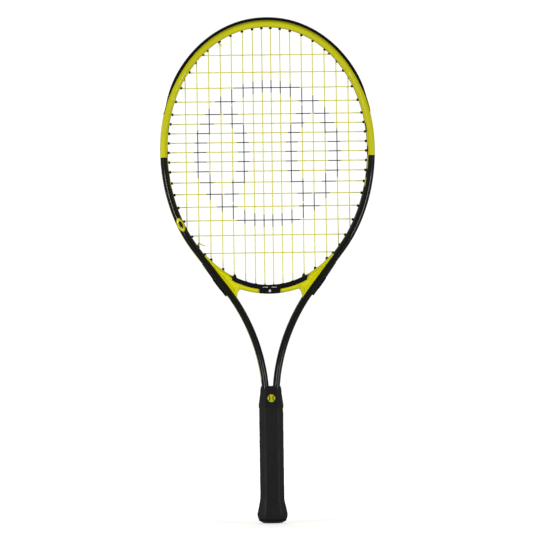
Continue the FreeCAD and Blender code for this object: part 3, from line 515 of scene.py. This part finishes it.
# %% Throat bridge mesh
bm = bmesh.new()
ring = [bm.verts.new((0, 0, 0)) for _ in range(SECTION_VERTS)]
edges = [bm.edges.new((a, b)) for a, b in zip(ring, ring[1:] + ring[:1])]
for number, (x, low_point, share) in enumerate(zip(top_x, low_points, valley)):
    if number:
        grown = bmesh.ops.extrude_edge_only(bm, edges=edges)["geom"]
        fresh = {g for g in grown if isinstance(g, bmesh.types.BMVert)}
        following = [next(e.other_vert(v) for e in v.link_edges if e.other_vert(v) in fresh)
                     for v in ring]
        edges = [g for g in grown if isinstance(g, bmesh.types.BMEdge)
                 and set(g.verts) <= fresh]
        ring = following
    top = Vector((x, 0, bridge_inner(x)))
    low = Vector((low_point[0], 0, low_point[1]))
    length = (top - low).length
    crest = top.lerp(low, min(CREST_IN / length, CREST_SHARE))
    foot = low.lerp(top, min(LOW_RIDGE_IN / length, LOW_RIDGE_SHARE))
    hollow = crest.lerp(foot, 0.5)
    hollow_y = CREST_Y + (VALLEY_Y - CREST_Y) * share
    front = [(top, RIM_Y), (crest, CREST_Y), (hollow, hollow_y), (foot, CREST_Y), (low, RIM_Y)]
    shape = [(point, -y) for point, y in front] + list(reversed(front))
    for v, (point, y) in zip(ring, shape):
        v.co = (point + Vector((0, y, 0))) * MM
both_sides(bm)
bridge = finish_piece(bm, "throat_bridge_moulding", bridge_paint, RACKET,
                      ["throat_bridge"])
bridge_bevel = bridge.modifiers.new("soft_edges", "BEVEL")
bridge_bevel.width, bridge_bevel.segments = 0.5 * MM, 2
bridge_bevel.limit_method, bridge_bevel.angle_limit = "ANGLE", math.radians(14)
weighted_normals(bridge)

# %% [markdown]
# ## Guards, grommets and pads
# The black parts round the hoop are moulded in nylon: dull, with a fine spark-eroded grain, and
# polished where a thumb or the court has rubbed them. Their shapes come from the imported frame.
# A copy of each is merged and its flat triangles are joined back to faces. Where a radius is
# given, its sharp edges get the small radius that any moulding has.


# %% Copy a imported node as a finished piece
COPY_MERGE, FLAT_ANGLE, SHARP_ANGLE = 0.004 * MM, math.radians(0.6), math.radians(32)


def from_node(name, piece_name, material, radius=0.0, body=RACKET):
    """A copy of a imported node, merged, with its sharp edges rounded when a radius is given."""
    bm = bmesh.new()
    bm.from_mesh(nodes[name].data)
    bmesh.ops.remove_doubles(bm, verts=bm.verts, dist=COPY_MERGE)
    bmesh.ops.dissolve_limit(bm, angle_limit=FLAT_ANGLE, verts=bm.verts, edges=bm.edges,
                             delimit={"NORMAL"}, use_dissolve_boundaries=False)
    if radius:
        corners = [e for e in bm.edges if len(e.link_faces) == 2
                   and e.calc_face_angle(0) > SHARP_ANGLE]
        bmesh.ops.bevel(bm, geom=corners, offset=radius * MM, affect="EDGES", segments=2,
                        profile=0.5, material=-1, clamp_overlap=True)
    weighted_normals(finish_piece(bm, piece_name, material, body, [name]))


print("edges over", round(math.degrees(SHARP_ANGLE)), "degrees are rounded")

# %% [markdown]
# Nylon comes from its tool with a fine, even grain, which spreads the light and hides scratches.
# The same function serves every moulded or wrapped finish here: its grain's size and depth are
# given in millimetres, and one slow noise makes it a little duller here and shinier there.


# %% Moulded nylon
RUB_SCALE, RUB_SPREAD = 45.0, 0.1     # rubbed patches 22 mm across, and what they change


def moulded_plastic(name, colour, worn, roughness, grain_mm, grain_depth_mm):
    """A moulded finish: even colour, a fine grain, and a little shine where it is rubbed."""
    material, tree, shader = new_material(name, **{"Roughness": roughness, "IOR": 1.5,
                                                   "Specular IOR Level": 0.25})
    place = node(tree, "TexCoord").outputs["Object"]
    rub = node(tree, "TexNoise", inputs={"Vector": place, "Scale": RUB_SCALE,
                                         "Detail": 4.0}).outputs["Fac"]
    shade = node(tree, "Mix", {"data_type": "RGBA"},
                 {0: rub, 6: linear(colour), 7: linear(worn)}).outputs[2]
    rough = node(tree, "MapRange", inputs={
        "Value": rub, "From Min": 0.3, "From Max": 0.7, "To Min": roughness - RUB_SPREAD,
        "To Max": roughness + RUB_SPREAD}).outputs[0]
    grain = node(tree, "TexNoise", inputs={
        "Vector": place, "Scale": 1 / (grain_mm * MM), "Detail": 3.0}).outputs["Fac"]
    bump = node(tree, "Bump", inputs={
        "Strength": 0.5, "Distance": grain_depth_mm * MM, "Height": grain})
    tree.links.new(shade, shader.inputs["Base Color"])
    tree.links.new(rough, shader.inputs["Roughness"])
    tree.links.new(bump.outputs[0], shader.inputs["Normal"])
    return material, tree, shader, place, shade


nylon, *_ = moulded_plastic("moulded_nylon_fine_grain", "#060606", "#0f0f10", 0.45, 0.9, 0.06)
for side in ("left", "right"):
    from_node(f"grommet_strip_{side}", f"side_grommet_strip_{side}", nylon)
    from_node(f"shoulder_pad_{side}", f"shoulder_damper_{side}", nylon, 0.35)
from_node("bumper_guard", "crown_bumper_guard", nylon)


# %% [markdown]
# The throat strip saddles the bridge. On its face the real one is printed; here a plain white
# dot between two short bars stands for that, drawn in the material by distance from its centre.

# %% Throat strip
DOT_Z, DOT_R = 314.8, 1.7
BAR_Z, BAR_HALF_HEIGHT = 319.8, 0.35
BAR_X, BAR_HALF_LENGTH = 6.0, 3.5
saddle_nylon, tree, shader, place, shade = moulded_plastic(
    "moulded_nylon_printed_dot", "#060606", "#0f0f10", 0.45, 0.9, 0.06)


def distance_from(tree, place, x, z):
    """How far each point is from (x, z), in the plane of the string bed."""
    flat = node(tree, "VectorMath", {"operation": "MULTIPLY"}, {0: place, 1: (1, 0, 1)})
    return node(tree, "VectorMath", {"operation": "DISTANCE"},
                {0: flat, 1: (x * MM, 0, z * MM)}).outputs["Value"]


dot = node(tree, "Math", {"operation": "LESS_THAN"}, {0: distance_from(tree, place, 0, DOT_Z),
                                                      1: DOT_R * MM})
x, _, z = node(tree, "SeparateXYZ", inputs={0: place}).outputs
sideways = node(tree, "Math", {"operation": "ABSOLUTE"}, {0: x})
bar_height = node(tree, "Math", {"operation": "COMPARE"}, {
    0: z, 1: BAR_Z * MM, 2: BAR_HALF_HEIGHT * MM})
bar_reach = node(tree, "Math", {"operation": "COMPARE"}, {
    0: sideways, 1: BAR_X * MM, 2: BAR_HALF_LENGTH * MM})
bars = node(tree, "Math", {"operation": "MULTIPLY"}, {0: bar_height, 1: bar_reach})
print_mask = node(tree, "Math", {"operation": "MAXIMUM"}, {0: dot, 1: bars})
printed = node(tree, "Mix", {"data_type": "RGBA"},
               {0: print_mask, 6: shade, 7: linear("#e9e9e2")}).outputs[2]
tree.links.new(printed, shader.inputs["Base Color"])
from_node("throat_grommet_strip", "throat_saddle_strip", saddle_nylon, 0.3)

# %% [markdown]
# ## Strings
# The strings are extruded nylon, round and slick, in the crown's yellow. Every cross goes over
# one main and under the next. Ink is rolled through a stencil on to the finished bed, so it
# sits only on the strings. The mark here is a plain ball: a ring and the two curved seams.

# %% Stencil and string numbers
STENCIL_CENTRE = (0.0, 501.0)
STENCIL_OUTER, STENCIL_INNER = 100.0, 83.0      # the ring's radii
SEAM_OFFSET, SEAM_R, SEAM_HALF = 126.0, 94.0, 8.0
PATCH_SCALE, LEAST_INK = 900.0, 0.94  # ink misses spots of 1.1 mm, but not wholly
TINT_SCALE = 60.0                     # the dye varies over 17 mm
print("the stencil's ring is", 2 * STENCIL_OUTER, "mm across and its line",
      STENCIL_OUTER - STENCIL_INNER, "mm wide")

# %% [markdown]
# The ring is a band of distances from the bed's middle, and each seam is a band of distances
# from a point at the side, kept only inside the ring. Since the pattern is worked out from
# place, every string takes exactly the ink that a stencil would let through.

# %% Extruded nylon string with stencil ink
# The strings also glow weakly in their own colour: a painted glow that keeps them bright under
# any lamp.
string_yellow, tree, shader = new_material(
    "extruded_nylon_string_stencil_ink", **{"Roughness": 0.3, "IOR": 1.53,
                                            "Specular IOR Level": 0.4,
                                            "Emission Strength": 0.12})
place = node(tree, "TexCoord").outputs["Object"]
from_centre = distance_from(tree, place, *STENCIL_CENTRE)
ink = node(tree, "Math", {"operation": "COMPARE"}, {
    0: from_centre, 1: (STENCIL_OUTER + STENCIL_INNER) / 2 * MM,
    2: (STENCIL_OUTER - STENCIL_INNER) / 2 * MM})
inside_ball = node(tree, "Math", {"operation": "LESS_THAN"}, {0: from_centre,
                                                              1: STENCIL_OUTER * MM})
for side in (-1, 1):
    away = distance_from(tree, place, side * SEAM_OFFSET, STENCIL_CENTRE[1])
    seam = node(tree, "Math", {"operation": "COMPARE"}, {0: away, 1: SEAM_R * MM,
                                                         2: SEAM_HALF * MM})
    seam = node(tree, "Math", {"operation": "MULTIPLY"}, {0: seam, 1: inside_ball})
    ink = node(tree, "Math", {"operation": "MAXIMUM"}, {0: ink, 1: seam})
fade = node(tree, "TexNoise", inputs={"Vector": place, "Scale": PATCH_SCALE}).outputs["Fac"]
patchy = node(tree, "MapRange", inputs={
    "Value": fade, "From Min": 0.2, "From Max": 0.5, "To Min": LEAST_INK, "To Max": 1.0})
ink = node(tree, "Math", {"operation": "MULTIPLY"}, {0: ink, 1: patchy})
tint = node(tree, "TexNoise", inputs={"Vector": place, "Scale": TINT_SCALE}).outputs["Fac"]
plain = node(tree, "Mix", {"data_type": "RGBA"},
             {0: tint, 6: linear("#f0ee00"), 7: linear("#e8e400")}).outputs[2]
inked = node(tree, "Mix", {"data_type": "RGBA"},
             {0: ink, 6: plain, 7: linear("#070707")}).outputs[2]
tree.links.new(inked, shader.inputs["Base Color"])
tree.links.new(inked, shader.inputs["Emission Color"])     # painted glow: lifts the strings the same under any lamp
for name, piece_name in (("main_string", "main_strings"), ("cross_string", "cross_strings"),
                         ("upper_tie_off_knot", "tie_off_knot_upper"),
                         ("lower_tie_off_knot", "tie_off_knot_lower")):
    from_node(name, piece_name, string_yellow)
print("material:", string_yellow.name)

# %% [markdown]
# ## Handle
# The grip is a long strip of foam-backed synthetic leather, wound up the handle with its edges
# overlapping. Each turn hides the edge of the one below, which leaves a low step that climbs
# round the handle. The eight flats of the handle show through it.

# %% Grip shape
GRIP_LOW, GRIP_HIGH = 4.2, 163.0
GRIP_PITCH = 25.0             # height gained in one turn
GRIP_STEP = 0.35              # how far the covering turn stands over the one it covers
CORE = [(4.0, 17.5, 15.2), (12.0, 18.7, 16.4), (20.0, 17.1, 14.9), (26.0, 15.9, 13.8),
        (33.0, 14.6, 12.7), (150.0, 14.5, 12.6), (163.0, 14.1, 12.2), (178.0, 12.9, 11.5)]
GRIP_THICKNESS, BEVEL_SHARE = 1.7, 0.47
TAPER_Z, TAPER_RUN, TAPER_DROP = 157.0, 6.0, 1.3        # the strip is pared thin at its end
END_ROUND, END_LEAST = 2.6, 0.02      # its lower edge rounds in over this height
STEP_FALL, STEP_FOOT, STEP_SINK = 0.05, 0.35, 0.85      # the step's shape, as shares


def core_size(z):
    """Half width and half depth of the handle under the grip at height z."""
    for (z0, x0, y0), (z1, x1, y1) in zip(CORE, CORE[1:]):
        if z <= z1:
            share = max(0.0, (z - z0) / (z1 - z0))
            return x0 + (x1 - x0) * share, y0 + (y1 - y0) * share
    return CORE[-1][1:]


print("one turn climbs", GRIP_PITCH, "mm, so there are about",
      round((GRIP_HIGH - GRIP_LOW) / GRIP_PITCH, 1), "turns")

# %% [markdown]
# The section is a square whose corners are cut to make the eight sides, and then rounded, since
# a padded strip can't hold a sharp corner. The long sides are divided, so the step can cross
# them at an angle.

# %% Grip section
SECTION_Z = 100.0                     # the height at which the section is drawn
CORNER_EXTRA, CORNER_SHARE, CORNER_ROUND = 0.5, 0.72, 1.6
LONG_SIDE, SIDE_CUTS = 4, 5
bm = bmesh.new()
half_x, half_y = core_size(SECTION_Z)
corner = (BEVEL_SHARE * half_x + CORNER_EXTRA) * math.sqrt(2) * MM * CORNER_SHARE
half_x, half_y = half_x + GRIP_THICKNESS, half_y + GRIP_THICKNESS
square = bmesh.ops.create_grid(bm, x_segments=1, y_segments=1, size=1.0)["verts"]
bmesh.ops.scale(bm, vec=(half_x * MM, half_y * MM, 1), verts=square)
bmesh.ops.bevel(bm, geom=square, offset=corner, affect="VERTICES", segments=1, profile=0.5,
                material=-1)
bmesh.ops.bevel(bm, geom=bm.verts[:], offset=CORNER_ROUND * MM, affect="VERTICES", segments=3,
                profile=0.5, material=-1)
long_sides = [e for e in bm.edges if e.calc_length() > LONG_SIDE * MM]
bmesh.ops.subdivide_edges(bm, edges=long_sides, cuts=SIDE_CUTS)
edges = list(bm.edges)
bmesh.ops.delete(bm, geom=bm.faces[:], context="FACES_ONLY")
print("the section has", len(edges), "edges")

# %% [markdown]
# The outline climbs the handle in low rings. Then every vert moves in or out: first to the
# handle's size at its height, and then by the step, whose phase depends on the height and on the
# angle round the handle. That is what makes it climb as a spiral.

# %% Grip mesh
GRIP_RINGS = 260
rise = (GRIP_HIGH - GRIP_LOW) / GRIP_RINGS
bmesh.ops.translate(bm, verts=bm.verts, vec=(0, 0, GRIP_LOW * MM))
for _ in range(GRIP_RINGS):
    grown = bmesh.ops.extrude_edge_only(bm, edges=edges)["geom"]
    fresh = [g for g in grown if isinstance(g, bmesh.types.BMVert)]
    inside = set(fresh)
    edges = [g for g in grown if isinstance(g, bmesh.types.BMEdge) and set(g.verts) <= inside]
    bmesh.ops.translate(bm, verts=fresh, vec=(0, 0, rise * MM))
for v in bm.verts:
    z = v.co.z / MM
    wide, deep = core_size(z)
    pared = (z - TAPER_Z) / TAPER_RUN * TAPER_DROP if z >= TAPER_Z else 0.0
    end = min(1.0, math.sqrt(max(END_LEAST, (z - GRIP_LOW) / END_ROUND)))
    turn = math.atan2(v.co.y, v.co.x) / (2 * math.pi)
    phase = ((z + turn * GRIP_PITCH) / GRIP_PITCH) % 1.0
    climb = min(1.0, (1 - phase) / STEP_FALL) * (STEP_FOOT + (1 - STEP_FOOT) * phase)
    out = (GRIP_THICKNESS - pared) * end + GRIP_STEP * (climb - STEP_SINK)
    v.co.x *= (wide + out) / half_x
    v.co.y *= (deep + out) / half_y
bmesh.ops.recalc_face_normals(bm, faces=bm.faces)
print("the grip has", len(bm.faces), "faces in", GRIP_RINGS, "rings of", round(rise, 2), "mm")

# %% [markdown]
# The leather's top is a thin polyurethane skin with small pores. They are drawn as the edges of
# Voronoi cells 1.4 mm across, pressed in lightly, so the grip stays the dullest large surface.

# %% Wrapped synthetic leather
PORE_MM, SKIN_MM = 1.4, 1.2
leather, tree, shader, place, _ = moulded_plastic(
    "wrapped_synthetic_leather", "#151515", "#202021", 0.62, 0.7, 0.12)
pores = node(tree, "TexVoronoi", {"feature": "DISTANCE_TO_EDGE"},
             {"Vector": place, "Scale": 1 / (PORE_MM * MM)}).outputs["Distance"]
creases = node(tree, "Bump", inputs={"Strength": 0.35, "Distance": 0.12 * MM, "Height": pores})
tree.links.new(creases.outputs[0], shader.inputs["Normal"])
grip = finish_piece(bm, "wound_grip", leather, RACKET, ["replacement_grip"])
grip_skin = grip.modifiers.new("skin", "SOLIDIFY")
grip_skin.thickness, grip_skin.offset = SKIN_MM * MM, -1.0

# %% [markdown]
# A rubber collar is rolled over the grip's upper end. It carries the same plain ball mark, small
# and yellow, where a maker would print a badge.

# %% Rubber collar with a printed ball
BALL_Z, BALL_R, BALL_LINE = 169.5, 5.2, 0.6     # the line is given by its half width
BALL_SEAM_X, BALL_SEAM_R = 6.4, 4.4
FACE_Y = 9.0                          # only the collar's front and back are this far out
rubber, tree, shader, place, shade = moulded_plastic(
    "moulded_rubber_printed_ball", "#101010", "#1a1a1b", 0.6, 0.9, 0.08)
_, y, _ = node(tree, "SeparateXYZ", inputs={0: place}).outputs
depth = node(tree, "Math", {"operation": "ABSOLUTE"}, {0: y})
ball = node(tree, "Math", {"operation": "LESS_THAN"}, {0: distance_from(tree, place, 0, BALL_Z),
                                                       1: BALL_R * MM})
face = node(tree, "Math", {"operation": "GREATER_THAN"}, {0: depth, 1: FACE_Y * MM})
ball = node(tree, "Math", {"operation": "MULTIPLY"}, {0: ball, 1: face})
for side in (-1, 1):
    away = distance_from(tree, place, side * BALL_SEAM_X, BALL_Z)
    seam = node(tree, "Math", {"operation": "COMPARE"}, {0: away, 1: BALL_SEAM_R * MM,
                                                         2: BALL_LINE * MM})
    ball = node(tree, "Math", {"operation": "SUBTRACT", "use_clamp": True}, {0: ball, 1: seam})
printed = node(tree, "Mix", {"data_type": "RGBA"},
               {0: ball, 6: shade, 7: linear("#c9c81a")}).outputs[2]
tree.links.new(printed, shader.inputs["Base Color"])
from_node("grip_collar", "rubber_collar", rubber, 0.6)

# %% [markdown]
# The butt cap is moulded in ABS, a harder and slightly glossier plastic than nylon. Its small
# door closes the hollow in which a player can add weight. It is a separate moulding on the body
# that slides, so it rides there and keeps its own rounded edges.

# %% Butt cap and its door
abs_plastic, *_ = moulded_plastic("moulded_abs_butt_cap", "#151515", "#1c1c1d", 0.42, 0.6, 0.03)
from_node("butt_cap", "butt_cap_moulding", abs_plastic, 0.4)
from_node("butt_cap_trap_door", "trap_door_moulding", abs_plastic, 0.2, DOOR)

# %% [markdown]
# ## Parts inside the handle
# The foam halves, the staples, the tack and the finishing tape are hidden in use, but each still
# gets its own finish, because a part may be looked at with its neighbours taken away.

# %% Hidden parts
WIRE_SCALE = 1400.0                   # marks of 0.7 mm from the drawing die
foam, *_ = moulded_plastic("moulded_polyurethane_foam", "#a5905f", "#8a7749", 0.75, 0.8, 0.15)
steel, tree, shader = new_material("drawn_steel_wire", Metallic=1.0, Roughness=0.32)
place = node(tree, "TexCoord").outputs["Object"]
draw_lines = node(tree, "TexNoise", inputs={"Vector": place, "Scale": WIRE_SCALE})
steel_tone = node(tree, "Mix", {"data_type": "RGBA"}, {
    0: draw_lines.outputs["Fac"], 6: linear("#c2c2bf"), 7: linear("#9c9c99")}).outputs[2]
tree.links.new(steel_tone, shader.inputs["Base Color"])
tape_film, *_ = moulded_plastic("vinyl_finishing_tape", "#0c0c0c", "#161616", 0.35, 1.2, 0.02)
for name, finish in (("handle_pallet_front", foam), ("handle_pallet_back", foam),
                     ("butt_cap_staples", steel), ("grip_start_tack", steel),
                     ("finishing_tape", tape_film)):
    nodes[name].data.materials.clear()
    nodes[name].data.materials.append(finish)
    print(name, "is given", finish.name)

# %% [markdown]
# ## Floor, light and camera
# The floor is pale and glows softly, with a painted shadow round the racket, and white further
# out, so that it meets the surround without a line. It neither lights the racket nor shows in its
# lacquer.

# %% Floor
FLOOR_GAP = 0.6                       # under the butt, so that the two never share a plane
FLOOR_SHADE, FLOOR_FADE = (0.05, 0.55), ("#cfcfcd", "#ffffff")  # metres out, and the colours of its painted shadow and of the white beyond
bpy.ops.mesh.primitive_circle_add(vertices=96, radius=3.0, fill_type="NGON", location=(0, 0, 0))
floor = bpy.context.object
floor.name = "studio_floor"
floor.data.transform(Matrix.Translation((0, 0, -FLOOR_GAP * MM)))
pale, tree, shader = new_material("pale_studio_floor", **{
    "Roughness": 0.9, "Base Color": linear("#f4f4f2"), "Specular IOR Level": 0.1,
    "Emission Strength": 1.0})
place = node(tree, "TexCoord").outputs["Object"]
away = node(tree, "VectorMath", {"operation": "LENGTH"}, {0: place}).outputs["Value"]
fading = node(tree, "MapRange", {"interpolation_type": "SMOOTHSTEP"}, {
    "Value": away, "From Min": FLOOR_SHADE[0], "From Max": FLOOR_SHADE[1]}).outputs[0]
glow_and_painted_shade = node(tree, "Mix", {"data_type": "RGBA"},
            {0: fading, 6: linear(FLOOR_FADE[0]), 7: linear(FLOOR_FADE[1])}).outputs[2]
tree.links.new(glow_and_painted_shade, shader.inputs["Emission Color"])
floor.data.materials.append(pale)
floor.visible_diffuse = False
floor.visible_glossy = False
floor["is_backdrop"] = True
print("the floor fades to white", FLOOR_SHADE[1], "m from the racket")

# %% [markdown]
# The surround is bright to the camera and dim to everything else. A white page behind a glossy
# black tube would otherwise wash out the black.

# %% Surround
world = bpy.data.worlds.new("studio")
bpy.context.scene.world = world
world.use_nodes = True
sky = world.node_tree
sky.nodes.clear()
seen = node(sky, "Background", inputs={"Color": (1, 1, 1, 1), "Strength": 1.05})
lit = node(sky, "Background", inputs={"Color": (1, 1, 1, 1), "Strength": 0.17})
rays = node(sky, "LightPath")
either = node(sky, "MixShader", inputs={
    0: rays.outputs["Is Camera Ray"], 1: lit.outputs[0], 2: seen.outputs[0]})
node(sky, "OutputWorld", inputs={"Surface": either.outputs[0]})
bpy.context.scene.view_settings.view_transform = "Standard"
print("surround:", world.name)

# %% [markdown]
# There are three soft lights. Two stand low at the sides, so the hoop's inner facets read
# brighter than its outer ones, and one stands high behind the racket and rims its back.


# %% Lights
def soft_light(name, place, target, size, power):
    """An area light at place, in metres, turned to face its target."""
    data = bpy.data.lights.new(name, "AREA")
    data.shape, data.size, data.size_y, data.energy = "RECTANGLE", size[0], size[1], power
    lamp = bpy.data.objects.new(name, data)
    bpy.context.scene.collection.objects.link(lamp)
    aim = (Vector(target) - Vector(place)).to_track_quat("-Z", "Y")
    lamp.matrix_world = Matrix.Translation(place) @ aim.to_matrix().to_4x4()
    print(name, power, "W")


soft_light("left_softbox", (-1.1, -0.75, 0.14), (0, 0, 0.38), (0.25, 0.5), 12.5)
soft_light("right_softbox", (1.1, -0.75, 0.14), (0, 0, 0.38), (0.25, 0.5), 10.5)
soft_light("rear_softbox", (0.0, 1.2, 1.6), (0, 0, 0.35), (1.4, 0.6), 8)

# %% [markdown]
# The camera stands far off with a long lens, which keeps the racket's proportions true: a near
# one would make the hoop look larger than the handle.

# %% Camera
CAMERA_DISTANCE = 5.0
VIEW_HEIGHT = 0.7326          # what the frame's side spans at the racket's middle
YAW, ROLL = math.radians(2.4), math.radians(0.8)
AIM = Vector((1.1, 0, 343.0)) * MM
lens_data = bpy.data.cameras.new("camera")
lens_data.sensor_width = 36.0
lens_data.lens = 36.0 * CAMERA_DISTANCE / VIEW_HEIGHT
lens_data.clip_end = 50
camera = bpy.data.objects.new("camera", lens_data)
bpy.context.scene.collection.objects.link(camera)
upright = Matrix.Rotation(math.radians(90), 4, "X")
camera.matrix_world = (Matrix.Translation(AIM) @ Matrix.Rotation(-YAW, 4, "Z") @ upright
                       @ Matrix.Rotation(-ROLL, 4, "Z")
                       @ Matrix.Translation((0, 0, CAMERA_DISTANCE)))
bpy.context.scene.camera = camera
print("camera at", [round(v, 3) for v in camera.matrix_world.translation])

# %% Sizes and finish
low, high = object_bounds()
print("visual box, mm:", [round(1000 * (b - a), 1) for a, b in zip(low, high)])
